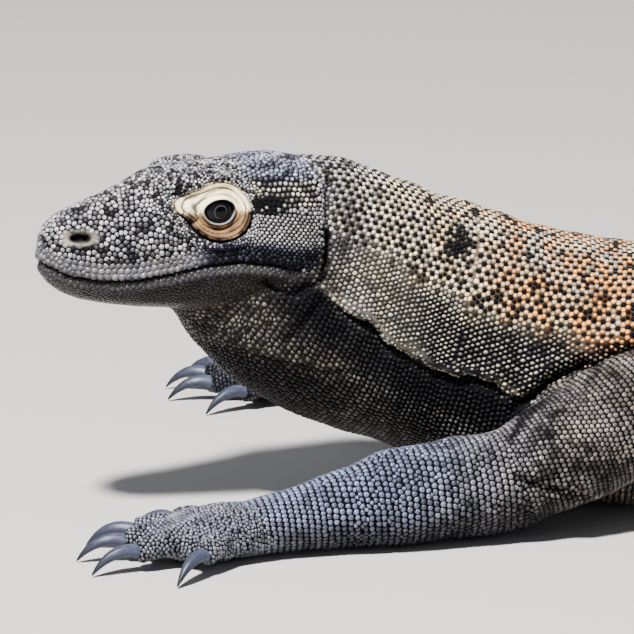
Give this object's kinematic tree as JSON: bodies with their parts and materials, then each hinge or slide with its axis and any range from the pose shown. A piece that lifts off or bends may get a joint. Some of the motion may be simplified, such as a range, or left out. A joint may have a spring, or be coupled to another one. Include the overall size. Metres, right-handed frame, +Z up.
{
  "type": "komodo dragon",
  "caption": "Life-size komodo dragon lying on its belly with the head raised, forelegs stretched forward and the tail in a slow curve.",
  "frame": {"origin": "on the floor under the middle of the trunk, on the flat where the belly rests", "axes": "+X from the head towards the tail along the trunk, +Y towards the animal's right side, +Z up"},
  "size_m": [2.0567, 0.5879, 0.209],
  "materials": {
    "head_hide": "satin, fine rounded scales",
    "body_hide": "satin, beaded scales, cream net and black spots",
    "limb_hide": "satin, beaded scales",
    "claw_horn": "semi-gloss horn",
    "eye": "wet gloss"
  },
  "bodies": {
    "root": {"belly": "body_hide", "chest": "body_hide", "claw_foot_left_1": "claw_horn", "claw_foot_left_2": "claw_horn", "claw_foot_left_3": "claw_horn", "claw_foot_left_4": "claw_horn", "claw_foot_left_5": "claw_horn", "claw_foot_right_1": "claw_horn", "claw_foot_right_2": "claw_horn", "claw_foot_right_3": "claw_horn", "claw_foot_right_4": "claw_horn", "claw_foot_right_5": "claw_horn", "claw_hand_left_1": "claw_horn", "claw_hand_left_2": "claw_horn", "claw_hand_left_3": "claw_horn", "claw_hand_left_4": "claw_horn", "claw_hand_left_5": "claw_horn", "claw_hand_right_1": "claw_horn", "claw_hand_right_2": "claw_horn", "claw_hand_right_3": "claw_horn", "claw_hand_right_4": "claw_horn", "claw_hand_right_5": "claw_horn", "eye_left": "eye", "eye_right": "eye", "foot_left": "limb_hide", "foot_right": "limb_hide", "forearm_left": "limb_hide", "forearm_right": "limb_hide", "hand_left": "limb_hide", "hand_right": "limb_hide", "head": "head_hide", "hips": "body_hide", "jaw": "head_hide", "neck": "body_hide", "shank_left": "limb_hide", "shank_right": "limb_hide", "tail_1": "body_hide", "tail_2": "body_hide", "tail_3": "body_hide", "tail_4": "body_hide", "tail_5": "body_hide", "thigh_left": "limb_hide", "thigh_right": "limb_hide", "upper_arm_left": "limb_hide", "upper_arm_right": "limb_hide"}
  },
  "joints": []
}
